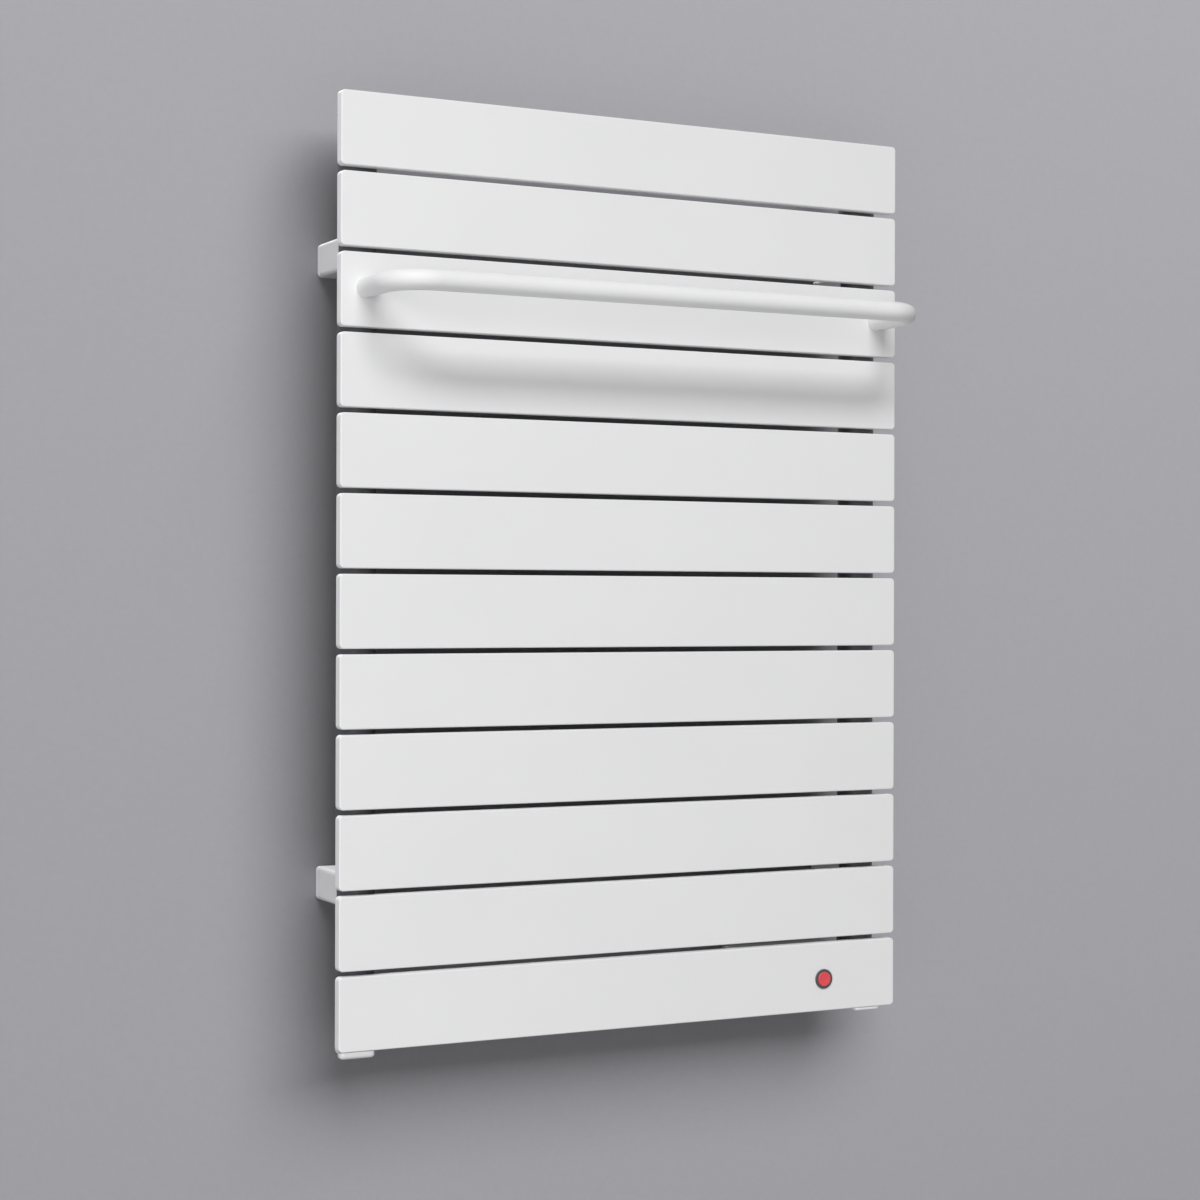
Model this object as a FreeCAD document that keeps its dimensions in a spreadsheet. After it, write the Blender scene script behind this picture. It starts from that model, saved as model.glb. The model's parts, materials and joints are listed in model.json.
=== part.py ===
import FreeCAD, Part
import math
import os
import re

import Sketcher

# Wall-hung electric towel warmer: twelve flat tubes on two round headers, one towel bar, a push button.
# Frame: +X to the right seen from the front, +Y towards the wall, +Z up.
# The origin is on the wall, at the centre of the four wall screws. Lengths are in millimetres.

SIZES = {
    # Panel of flat tubes
    "panel_width": 600,
    "slat_count": 12,
    "slat_height": 68,
    "slat_gap": 5,
    "slat_depth": 11,
    "slat_wall": 1.5,
    "slat_end": 5,
    "slat_corner": 4,
    "slat_edge": 1.2,
    # Headers behind the slats
    "header_dia": 36,
    "header_wall": 2,
    "header_inset": 27.5,
    "header_drop": 16,
    "header_rise": 4,
    "collar_dia": 15,
    "collar_length": 2,
    "port_dia": 10,
    "wall_gap": 34,
    # Header caps
    "cap_height": 6,
    "cap_wall": 2.5,
    "cap_floor": 4,
    "cap_spigot": 8,
    "cap_round": 4,
    "weld_drop": 3.2,
    "weld_sole": 1.8,
    "weld_nose_width": 29,
    "weld_nose_side": 16.5,
    "terminal_drop": 6.5,
    "terminal_sole": 3,
    "terminal_nose_width": 34,
    "terminal_nose_side": 2,
    "nose_round": 4,
    "nose_setback": 0.5,
    "neck_width": 14,
    "fill_dia": 13,
    "fill_thread": 9,
    "fill_flats": 14,
    "fill_head": 4,
    # Heating element in the left header
    "bulkhead_rise": 37.5,
    "bulkhead_thick": 8,
    "heater_thread": 20.9,
    "heater_engage": 4,
    "heater_flats": 24,
    "heater_hex": 8,
    "washer_dia": 27,
    "washer_thick": 1,
    "element_dia": 12.5,
    "element_length": 430,
    "element_tip": 5,
    "insulator_dia": 12,
    "insulator_height": 7,
    "pin_dia": 2,
    "pin_length": 12,
    "pin_seat": 4,
    "pin_offset": 3,
    "lead_dia": 2.4,
    "lead_bend": 7,
    "lead_offset": 2,
    # Towel bar
    "bar_slat_count": 3,
    "bar_dia": 19,
    "bar_wall": 1.5,
    "bar_reach": 80,
    "bar_inset": 24,
    "bar_bend": 36,
    "bar_lift": 1.5,
    "post_length": 18,
    "grub_dia": 4,
    "grub_length": 5,
    "grub_reach": 9,
    # Wall brackets
    "bracket_span": 581,
    "bracket_width": 38,
    "bracket_height": 31,
    "bracket_round": 4,
    "bracket_gap": 1,
    "foot_width": 30,
    "foot_height": 23,
    "foot_wall": 3,
    "foot_flange": 4,
    "foot_reach": 22,
    "foot_hole": 5.5,
    "socket_slack": 2,
    "boss_dia": 12,
    "boss_height": 4,
    "tap_floor": 1,
    "saddle_screw_dia": 6,
    "saddle_head_dia": 11,
    "saddle_head": 3.5,
    # Push button in the lowest slat
    "button_side": 84,
    "button_rise": 32,
    "button_dia": 14.4,
    "button_proud": 0.8,
    "button_skirt": 4.4,
    "button_crown": 1.8,
    "button_wall": 1.3,
    "button_travel": 2.5,
    "button_round": 0.6,
    "bezel_lip": 1.75,
    "bezel_flange": 1.6,
    "bezel_round": 0.7,
    "bezel_bore": 5,
    "bezel_web": 3,
    "barrel_wall": 0.8,
    "barrel_cavity": 12,
    "barrel_tail": 5,
    "nut_wall": 2,
    "nut_height": 4,
    "stem_dia": 4.8,
    "stem_foot_dia": 9,
    "stem_foot": 2,
    "bridge_width": 8.4,
    "bridge_height": 3,
    "bridge_thick": 0.8,
    "contact_dia": 1.6,
    "contact_offset": 3,
    "contact_length": 15,
    "housing_flange": 2,
    "spring_dia": 9,
    "spring_wire": 0.6,
    "spring_turns": 3,
    "lamp_dia": 2,
    "lamp_offset": 6,
    # Control box behind the lowest slat
    "box_margin": 29,
    "box_length": 117,
    "box_height": 60,
    "box_depth": 38,
    "box_wall": 2,
    "box_round": 3,
    "cover_thick": 2.5,
    "post_width": 7,
    "screw_dia": 3,
    "screw_head_dia": 5.5,
    "screw_head": 2,
    "screw_length": 10,
    "tie_inset": 12,
    "tie_rise": 16,
    "wire_inset": 10,
    "wire_dia": 10,
    "board_inset": 22,
    "board_gap": 10,
    "board_height": 44,
    "board_thick": 1.6,
    "board_standoff": 8,
    "standoff_dia": 5,
    "standoff_inset": 4,
    "stake_dia": 2.5,
    "block_inset": 2,
    "block_length": 12,
    "block_height": 18,
    "block_depth": 10,
    "block_entry": 5,
    "module_gap": 5,
    "module_inset": 7,
    "module_height": 28,
    "module_depth": 16,
    "relay_gap": 2,
    "relay_height": 10,
    "relay_depth": 15,
    "earth_dia": 4,
    "earth_length": 16,
    "earth_offset": 8,
    "earth_rise": 20,
    "earth_flats": 7,
    "earth_nut": 3,
    "entry_inset": 82,
    "entry_dia": 10,
    "grommet_dia": 18,
    "grommet_neck": 14,
    "grommet_lip": 2.5,
    # Clearances
    "fit": 0.05,
    "slide_fit": 0.1,
    "loose_fit": 0.3,
}

# Places worked out from the driving sizes
PLACES = {
    "slat_pitch": "slat_height + slat_gap",
    "stack_top": "(slat_count * slat_pitch - slat_gap) / 2",
    "lowest_z": "slat_height / 2 - stack_top",
    "header_x": "panel_width / 2 - header_inset",
    "header_y": "-wall_gap - header_dia / 2",
    "header_back": "-wall_gap",
    "header_bore": "header_dia - 2 * header_wall",
    "header_top": "stack_top - header_drop",
    "header_bottom": "header_rise - stack_top",
    "slat_back": "header_y - header_dia / 2 - collar_length",
    "slat_front": "slat_back - slat_depth",
    "bulkhead_z": "lowest_z + bulkhead_rise",
    "plug_top": "bulkhead_z - washer_thick",
    "plug_bottom": "plug_top - heater_hex",
    "insulator_bottom": "plug_bottom - insulator_height",
    "pin_bottom": "insulator_bottom + pin_seat - pin_length",
    "bar_x": "panel_width / 2 - bar_inset",
    "bar_y": "slat_front - bar_reach",
    "bar_z": "stack_top - slat_height / 2 - (bar_slat_count - 1) * slat_pitch + bar_lift",
    "bar_bore": "bar_dia - 2 * bar_wall",
    "saddle_back": "-foot_flange - bracket_gap",
    "socket_floor": "-foot_reach - socket_slack",
    "button_x": "panel_width / 2 - button_side",
    "button_z": "button_rise - stack_top",
    "barrel_dia": "button_dia + 2 * barrel_wall",
    "bezel_dia": "barrel_dia + 2 * bezel_lip",
    "nut_flats": "barrel_dia + 2 * nut_wall",
    "web_back": "bezel_bore + bezel_web",
    "crown_front": "-bezel_flange - button_proud",
    "crown_back": "crown_front + button_crown",
    "foot_front": "web_back + loose_fit",
    "foot_back": "foot_front + stem_foot",
    "bridge_back": "foot_back + bridge_thick",
    "contact_front": "bridge_back + button_travel + loose_fit",
    "barrel_end": "slat_depth + box_wall + nut_height + barrel_tail",
    "box_right": "button_x + box_margin",
    "box_left": "box_right - box_length",
    "box_bottom": "lowest_z - box_height / 2",
    "box_top": "lowest_z + box_height / 2",
    "box_inner": "slat_back + box_wall",
    "box_back": "slat_back + box_depth",
    "cover_back": "box_back + cover_thick",
    "wire_x": "box_left + wire_inset",
    "board_left": "box_left + board_inset",
    "board_right": "earth_x - board_gap",
    "board_front": "box_inner + board_standoff",
    "board_back": "board_front + board_thick",
    "module_left": "block_left + block_length + module_gap",
    "module_right": "board_right - module_inset",
    "module_bottom": "lowest_z - board_height / 2 + standoff_inset",
    "module_top": "module_bottom + module_height",
    "block_left": "board_left + block_inset",
    "entry_x": "box_left + entry_inset",
    "earth_x": "button_x - earth_offset",
    "earth_z": "lowest_z + earth_rise",
}

TOUCH = 1e-4
SIDES = (("left", -1), ("right", 1))
LEVELS = (("upper", 1), ("lower", -1))
TURNS = {
    "X": FreeCAD.Rotation(FreeCAD.Vector(0, 1, 0), 90),
    "Y": FreeCAD.Rotation(FreeCAD.Vector(1, 0, 0), -90),
    "Z": FreeCAD.Rotation(),
}

doc = FreeCAD.newDocument("towel_warmer")
sheet = doc.addObject("Spreadsheet::Sheet", "Sizes")
for row, (alias, size) in enumerate(SIZES.items(), 1):
    sheet.set(f"A{row}", alias)
    sheet.set(f"B{row}", str(size))
    sheet.setAlias(f"B{row}", alias)
doc.recompute()
nodes = []


def formula(text):
    """A size formula written out in the sheet's own cells."""
    def cell(match):
        name = match.group()
        if name in PLACES:
            return "(" + formula(PLACES[name]) + ")"
        return "Sizes." + name
    return re.sub(r"\b[a-z]\w*\b(?!\()", cell, text)


def value(text):
    """What a size formula comes to."""
    return float(sheet.evalExpression(formula(text)))


def place(thing, x, y, z):
    """Tie a thing's position to three size formulas."""
    for axis, text in zip("xyz", (x, y, z)):
        thing.setExpression("Placement.Base." + axis, formula(text))
    return thing


def node(thing):
    """Keep a finished sub-part for export."""
    nodes.append(thing)
    return thing


def block(name, x, y, z):
    """A box between low and high formulas along each axis."""
    solid = doc.addObject("Part::Box", name)
    for side, (low, high) in zip(("Length", "Width", "Height"), (x, y, z)):
        solid.setExpression(side, formula(f"({high}) - ({low})"))
    return place(solid, x[0], y[0], z[0])


def around(centre, size):
    """Low and high formulas of a span about its centre."""
    return f"({centre}) - ({size}) / 2", f"({centre}) + ({size}) / 2"


def rod(name, axis, dia, start, length):
    """A cylinder from its start point along an axis."""
    solid = doc.addObject("Part::Cylinder", name)
    solid.setExpression("Radius", formula(f"({dia}) / 2"))
    solid.setExpression("Height", formula(length))
    solid.Placement = FreeCAD.Placement(FreeCAD.Vector(), TURNS[axis])
    return place(solid, *start)


def hexagon(name, axis, flats, start, length):
    """A hexagonal bar, sized across its flats."""
    solid = doc.addObject("Part::Prism", name)
    solid.Polygon = 6
    solid.setExpression("Circumradius", formula(f"({flats}) / sqrt(3)"))
    solid.setExpression("Height", formula(length))
    solid.Placement = FreeCAD.Placement(FreeCAD.Vector(), TURNS[axis])
    return place(solid, *start)


def join(name, *solids):
    """Solids that are one piece."""
    whole = doc.addObject("Part::MultiFuse", name)
    whole.Shapes = list(solids)
    return whole


def cut(name, base, *tools):
    """A solid with tools taken away from it."""
    rest = doc.addObject("Part::Cut", name)
    rest.Base = base
    rest.Tool = tools[0] if len(tools) == 1 else join(name + "_tools", *tools)
    return rest


def group(name, *solids):
    """Like pieces that share one node."""
    pieces = doc.addObject("Part::Compound", name)
    pieces.Links = list(solids)
    return pieces


def rounded(name, plain, radius, wanted):
    """A solid with the edges rounded that a test picks."""
    doc.recompute()
    solid = doc.addObject("Part::Fillet", name)
    solid.Base = plain
    reach = value(radius)
    solid.Edges = [(number, reach, reach) for number, edge in enumerate(plain.Shape.Edges, 1) if wanted(edge)]
    return solid


def rounded_block(name, x, y, z, radius):
    """A box whose four edges along Y are rounded."""
    plain = block(name + "_plain", x, y, z)
    return rounded(name, plain, radius, lambda edge: abs(edge.tangentAt(edge.FirstParameter).y) > 1 - TOUCH)


def new_sketch(body):
    """A sketch on the body's own upright plane: its x is X and its y is Z."""
    upright = [plane for plane in body.Origin.OriginFeatures if plane.Role == "XZ_Plane"][0]
    sketch = body.newObject("Sketcher::SketchObject", "Sketch")
    sketch.AttachmentSupport = (upright, [""])
    sketch.MapMode = "FlatFace"
    return sketch


def hold(sketch, kind, text, *where):
    """Hold a sketch size to a size formula."""
    number = sketch.addConstraint(Sketcher.Constraint(kind, *where, value(text)))
    sketch.setExpression(f"Constraints[{number}]", formula(text))


def outline(body, corners):
    """A closed sketch of straight lines through corners."""
    sketch = new_sketch(body)
    points = [FreeCAD.Vector(value(x), value(y), 0) for x, y in corners]
    count = len(points)
    for number, point in enumerate(points):
        sketch.addGeometry(Part.LineSegment(point, points[(number + 1) % count]))
    for number, (x, y) in enumerate(corners):
        sketch.addConstraint(Sketcher.Constraint("Coincident", number, 2, (number + 1) % count, 1))
        hold(sketch, "DistanceX", x, -1, 1, number, 1)
        hold(sketch, "DistanceY", y, -1, 1, number, 1)
    return sketch


def turned(name, corners, start, axis="Z"):
    """A turned piece: corners are radius and height along its axis."""
    body = doc.addObject("PartDesign::Body", name)
    profile = outline(body, corners)
    spin = body.newObject("PartDesign::Revolution", "Turned")
    spin.Profile = profile
    spin.ReferenceAxis = (profile, ["V_Axis"])
    spin.Angle = 360
    body.Placement = FreeCAD.Placement(FreeCAD.Vector(), TURNS[axis])
    place(body, *start)
    doc.recompute()
    return body


def round_edges(body, radius, wanted):
    """Round the edges of a body that a test picks."""
    last = body.Tip
    edges = [f"Edge{number}" for number, edge in enumerate(last.Shape.Edges, 1) if wanted(edge)]
    fillet = body.newObject("PartDesign::Fillet", "Round")
    fillet.Base = (last, edges)
    fillet.setExpression("Radius", formula(radius))
    doc.recompute()
    return body


def round_rim(body, radius, dia, height):
    """Round a turned piece's rim, found by its diameter and height."""
    def wanted(edge):
        curve = edge.Curve
        return (isinstance(curve, Part.Circle) and abs(2 * curve.Radius - value(dia)) < TOUCH
                and abs(curve.Center.z - value(height)) < TOUCH)
    return round_edges(body, radius, wanted)


def bore_slat(body, holes, depth, walls):
    """Round holes sunk into a slat from its back face, through one or both of its walls."""
    sketch = new_sketch(body)
    for number, (x, z, dia) in enumerate(holes):
        centre = FreeCAD.Vector(value(x), value(z), 0)
        sketch.addGeometry(Part.Circle(centre, FreeCAD.Vector(0, 0, 1), value(dia) / 2))
        hold(sketch, "DistanceX", x, -1, 1, number, 3)
        hold(sketch, "DistanceY", z, -1, 1, number, 3)
        hold(sketch, "Diameter", dia, number)
    before = body.Shape.Volume
    pocket = body.newObject("PartDesign::Pocket", "Holes")
    pocket.Profile = sketch
    pocket.Reversed = True
    pocket.setExpression("Length", formula(depth))
    doc.recompute()
    area = sum(math.pi * value(dia) ** 2 / 4 for _, _, dia in holes)
    expected = area * walls * value("slat_wall")
    if abs(before - body.Shape.Volume - expected) > 0.01 * expected:
        raise ValueError(f"holes in {body.Label} took away the wrong volume")


def slat(name, number):
    """One hollow flat tube, with its back face at its own origin plane."""
    body = doc.addObject("PartDesign::Body", name)
    width, height = "panel_width / 2", "slat_height / 2"
    corners = [("-" + width, "-" + height), (width, "-" + height), (width, height), ("-" + width, height)]
    face = outline(body, corners)
    pad = body.newObject("PartDesign::Pad", "Tube")
    pad.Profile = face
    pad.setExpression("Length", formula("slat_depth"))
    doc.recompute()
    round_edges(body, "slat_corner", lambda edge: edge.BoundBox.YLength > value("slat_depth") - TOUCH)
    round_edges(body, "slat_edge", lambda edge: edge.BoundBox.YLength < TOUCH)
    hollow = body.newObject("PartDesign::SubtractiveBox", "Hollow")
    hollow.setExpression("Length", formula("panel_width - 2 * slat_end"))
    hollow.setExpression("Width", formula("slat_depth - 2 * slat_wall"))
    hollow.setExpression("Height", formula("slat_height - 2 * slat_wall"))
    place(hollow, "slat_end - panel_width / 2", "slat_wall - slat_depth", "slat_wall - slat_height / 2")
    place(body, "0", "slat_back", f"stack_top - slat_height / 2 - {number} * slat_pitch")
    doc.recompute()
    return body


def panel():
    """The slats: all but the lowest carry the heating fluid, and the lowest is a dry wireway."""
    rows = int(value("slat_count"))
    ports = [("-header_x", "0", "port_dia"), ("header_x", "0", "port_dia")]
    for number in range(rows - 1):
        tube = slat(f"slat_{number + 1:02d}", number)
        bore_slat(tube, ports, "slat_wall", 1)
        node(tube)
    tube = slat("control_slat", rows - 1)
    ties = [(x, f"({z}) - (lowest_z)", "screw_dia + 2 * fit") for x, z in box_ties()]
    wires = [ports[0], ("wire_x", "0", "wire_dia")]
    bore_slat(tube, wires + ties, "slat_wall", 1)
    bore_slat(tube, [("button_x", "button_z - lowest_z", "barrel_dia + 2 * slide_fit")], "slat_depth", 2)
    node(tube)


def slat_levels(count):
    """Heights of the slats' centres, from the top."""
    return [f"stack_top - slat_height / 2 - {number} * slat_pitch" for number in range(count)]


def header(side, sign, ports):
    """A round collector with its slat ports and the two tapped bosses for the brackets."""
    x = f"{sign} * header_x"
    foot = (x, "header_y", "header_bottom")
    length = "header_top - header_bottom"
    tube = rod(f"{side}_header_tube", "Z", "header_dia", foot, length)
    bore = rod(f"{side}_header_bore", "Z", "header_bore", foot, length)
    bosses = []
    taps = []
    for level, up in LEVELS:
        z = f"{up} * bracket_span / 2"
        boss_length = "header_dia / 2 + boss_height"
        bosses.append(rod(f"{side}_{level}_boss", "Y", "boss_dia", (x, "header_y", z), boss_length))
        tap_length = "header_wall - tap_floor + boss_height"
        tap_start = (x, "header_back - header_wall + tap_floor", z)
        taps.append(rod(f"{side}_{level}_tap", "Y", "saddle_screw_dia + 2 * fit", tap_start, tap_length))
    reach = "collar_length + header_dia / 2"
    holes = [rod(f"{side}_port_{number}", "Y", "port_dia", (x, "slat_back", z), reach)
             for number, z in enumerate(slat_levels(ports))]
    node(cut(f"{side}_header", join(f"{side}_header_body", tube, *bosses), bore, *taps, *holes))


def collars():
    """Welded rings that carry each slat on its header, shaped to the header's curve."""
    rings = []
    for side, sign in SIDES:
        x = f"{sign} * header_x"
        for number, z in enumerate(slat_levels(int(value("slat_count")))):
            name = f"{side}_collar_{number}"
            start = (x, "slat_back", z)
            depth = "collar_length + header_dia / 2"
            ring = rod(name + "_ring", "Y", "collar_dia", start, depth)
            hole = rod(name + "_hole", "Y", "port_dia", start, depth)
            curve_start = (x, "header_y", f"{z} - collar_dia")
            curve = rod(name + "_curve", "Z", "header_dia", curve_start, "2 * collar_dia")
            rings.append(cut(name, ring, hole, curve))
    node(group("port_collars", *rings))


def top_cap(name, sign, hole=None):
    """A round cap whose spigot fits in a header's upper end."""
    inner = f"({hole}) / 2" if hole else "0"
    rim = "header_dia / 2"
    spigot = "header_bore / 2 - fit"
    ceiling = "cap_height - cap_floor"
    corners = [(inner, "cap_height"), (rim, "cap_height"), (rim, "0"), (spigot, "0"), (spigot, "-cap_spigot"),
               (f"{spigot} - cap_wall", "-cap_spigot"), (f"{spigot} - cap_wall", ceiling), (inner, ceiling)]
    cap = turned(name, corners, (f"{sign} * header_x", "header_y", "header_top"))
    node(round_rim(cap, "cap_round", "header_dia", "cap_height"))


def low_cap(name, sign, kind):
    """A header's lower cap, with a nose under the lowest slat that ends level with its face."""
    x = f"{sign} * header_x"
    drop = f"{kind}_drop"
    foot = f"-stack_top - {drop}"
    height = (foot, "-stack_top - loose_fit")
    nose_x = f"{sign} * (panel_width / 2 - {kind}_nose_side - {kind}_nose_width / 2)"
    nose_front = "slat_front + nose_setback"

    def upright(edge):
        return edge.BoundBox.XLength + edge.BoundBox.YLength < TOUCH

    def under(edge):
        return edge.BoundBox.ZMax < value(foot) + TOUCH

    plain = block(f"{name}_plain", around(nose_x, f"{kind}_nose_width"), (nose_front, "slat_back"), height)
    corners = rounded(f"{name}_corners", plain, "nose_round", upright)
    nose = rounded(f"{name}_nose", corners, f"{kind}_sole", under)
    neck = block(f"{name}_neck", around(x, "neck_width"), (f"{nose_front} + nose_round", "header_y"), height)
    stem = rod(f"{name}_stem", "Z", "header_dia", (x, "header_y", foot), f"{drop} + header_rise")
    heel = rounded(f"{name}_heel", stem, f"{kind}_sole", under)
    plug = "header_bore - 2 * fit"
    spigot = rod(f"{name}_spigot", "Z", plug, (x, "header_y", "header_bottom"), "cap_spigot")
    well = rod(f"{name}_well", "Z", f"{plug} - 2 * cap_wall", (x, "header_y", f"{foot} + cap_floor"),
               f"{drop} + header_rise + cap_spigot - cap_floor")
    node(cut(name, join(f"{name}_body", nose, neck, heel, spigot), well))


def header_ends():
    """Caps on both headers and the plug in the filling hole."""
    fill_hole = "fill_dia + 2 * fit"
    top_cap("left_top_cap", -1, fill_hole)
    top_cap("right_top_cap", 1)
    low_cap("right_bottom_cap", 1, "weld")
    low_cap("terminal_cap", -1, "terminal")
    seat = ("-header_x", "header_y", "header_top + cap_height")
    tip = ("-header_x", "header_y", "header_top + cap_height - fill_thread")
    head = hexagon("fill_head_hex", "Z", "fill_flats", seat, "fill_head")
    thread = rod("fill_thread_rod", "Z", "fill_dia", tip, "fill_thread")
    node(join("fill_plug", head, thread))


def heater():
    """The electric cartridge, screwed up into a bulkhead near the foot of the left header."""
    x = "-header_x"
    ring_bore = "heater_thread / 2 + fit"
    ring_rim = "header_bore / 2 - fit"
    rings = [("bulkhead_ring", ring_rim, "bulkhead_thick", "bulkhead_z"),
             ("heater_washer", "washer_dia / 2", "washer_thick", "plug_top")]
    for name, rim, thick, level in rings:
        ring = [(ring_bore, "0"), (rim, "0"), (rim, thick), (ring_bore, thick)]
        node(turned(name, ring, (x, "header_y", level)))
    plug_start = (x, "header_y", "plug_bottom")
    plug_length = "heater_hex + washer_thick + bulkhead_thick + heater_engage"
    head = hexagon("heater_plug_hex", "Z", "heater_flats", plug_start, "heater_hex")
    thread = rod("heater_plug_thread", "Z", "heater_thread", plug_start, plug_length)
    bore = rod("heater_plug_bore", "Z", "element_dia + 2 * fit", plug_start, plug_length)
    node(cut("heater_plug", join("heater_plug_body", head, thread), bore))
    rim = "element_dia / 2"
    sheath = [("0", "0"), (rim, "0"), (rim, "element_length"), ("0", "element_length")]
    element = turned("heater_element", sheath, plug_start)
    node(round_rim(element, "element_tip", "element_dia", "element_length"))
    disc_start = (x, "header_y", "insulator_bottom")
    ceramic = rod("insulator_disc", "Z", "insulator_dia", disc_start, "insulator_height")
    holes = []
    pins = []
    for number, way in enumerate((-1, 1)):
        start = (x, f"header_y + {way} * pin_offset", "pin_bottom")
        pins.append(rod(f"terminal_pin_{number}", "Z", "pin_dia", start, "pin_length"))
        holes.append(rod(f"insulator_hole_{number}", "Z", "pin_dia + 2 * fit", start, "pin_length"))
    node(cut("terminal_insulator", ceramic, *holes))
    node(group("terminal_pins", *pins))


def rounded_path(points, radius):
    """A path of straight runs joined by tangent arcs."""
    edges = []
    start = points[0]
    for corner, after in zip(points[1:-1], points[2:]):
        coming = (corner - start).normalize()
        going = (after - corner).normalize()
        half_turn = coming.getAngle(going) / 2
        reach = radius * math.tan(half_turn)
        first = corner - coming * reach
        last = corner + going * reach
        middle = corner + (going - coming).normalize() * (radius / math.cos(half_turn) - radius)
        edges.append(Part.LineSegment(start, first).toShape())
        edges.append(Part.Arc(first, middle, last).toShape())
        start = last
    edges.append(Part.LineSegment(start, points[-1]).toShape())
    return Part.Wire(edges)


def round_wire(path, dia):
    """A solid round wire along a path, with its volume compared with section times length."""
    first = path.Edges[0]
    start = first.valueAt(first.FirstParameter)
    ring = Part.Circle(start, first.tangentAt(first.FirstParameter), dia / 2)
    solid = path.makePipeShell([Part.Wire(ring.toShape())], True, False)
    expected = math.pi * dia ** 2 / 4 * path.Length
    if abs(solid.Volume - expected) > 0.01 * expected:
        raise ValueError("a wire's volume differs from its section times its length")
    return solid


def heater_leads():
    """Two leads from the element's pins, through the lowest slat, to the terminal block."""
    inside = "slat_back - slat_depth / 2"
    entry = "board_back + block_entry"
    leads = []
    for way in (-1, 1):
        level = f"lowest_z - {way} * lead_offset"
        pin = f"header_y + {way} * pin_offset"
        route = [("-header_x", pin, "pin_bottom"), ("-header_x", pin, level), ("-header_x", inside, level),
                 ("wire_x", inside, level), ("wire_x", entry, level), ("block_left", entry, level)]
        points = [FreeCAD.Vector(*(value(text) for text in point)) for point in route]
        leads.append(round_wire(rounded_path(points, value("lead_bend")), value("lead_dia")))
    bundle = doc.addObject("Part::Feature", "heater_leads")
    bundle.Shape = Part.makeCompound(leads)
    bundle.Placement = FreeCAD.Placement()
    node(bundle)
    print("heater lead bend radius", value("lead_bend"))


def bent_bar(name, dia):
    """The towel bar's run, bends and arms as one solid of the given diameter."""
    arm_length = "bar_reach - bar_bend"
    run_half = "(bar_x - bar_bend)"
    pieces = [rod(name + "_run", "X", dia, (f"-{run_half}", "bar_y", "bar_z"), f"2 * {run_half}")]
    for side, sign in SIDES:
        arm_start = (f"{sign} * bar_x", "bar_y + bar_bend", "bar_z")
        pieces.append(rod(f"{name}_{side}_arm", "Y", dia, arm_start, arm_length))
        bend = doc.addObject("Part::Torus", f"{name}_{side}_bend")
        bend.Angle3 = 90
        bend.setExpression("Radius1", formula("bar_bend"))
        bend.setExpression("Radius2", formula(f"({dia}) / 2"))
        quarter = FreeCAD.Rotation(FreeCAD.Vector(0, 0, 1), 180 if sign < 0 else 270)
        bend.Placement = FreeCAD.Placement(FreeCAD.Vector(), quarter)
        pieces.append(place(bend, f"{sign} * {run_half}", "bar_y + bar_bend", "bar_z"))
    whole = join(name, *pieces)
    whole.Refine = True
    return whole


def towel_bar():
    """The bent tube, the posts welded to its slat, and the grub screws that hold it on them."""
    posts = []
    grubs = []
    holes = []
    for side, sign in SIDES:
        x = f"{sign} * bar_x"
        low = (x, "slat_front - grub_reach", "bar_z - bar_dia / 2")
        grubs.append(rod(f"{side}_bar_grub", "Z", "grub_dia", low, "grub_length"))
        hole = rod(f"{side}_bar_grub_hole", "Z", "grub_dia + 2 * fit", low, "grub_length")
        holes.append(hole)
        post_start = (x, "slat_front - post_length", "bar_z")
        post = rod(f"{side}_post_rod", "Y", "bar_bore - 2 * slide_fit", post_start, "post_length")
        posts.append(cut(f"{side}_post", post, hole))
    tube = cut("towel_bar_tube", bent_bar("bar_outside", "bar_dia"), bent_bar("bar_inside", "bar_bore"))
    node(cut("towel_bar", tube, *holes))
    node(group("bar_posts", *posts))
    node(group("bar_grub_screws", *grubs))


def screw(name, dia, length, head_dia, head, seat):
    """A pan-head screw along Y: its head stands behind the seat and its shank runs forwards."""
    x, y, z = seat
    shank = rod(name + "_shank", "Y", dia, (x, f"{y} - ({length})", z), length)
    cap = rod(name + "_head", "Y", head_dia, seat, head)
    return join(name, shank, cap)


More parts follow.
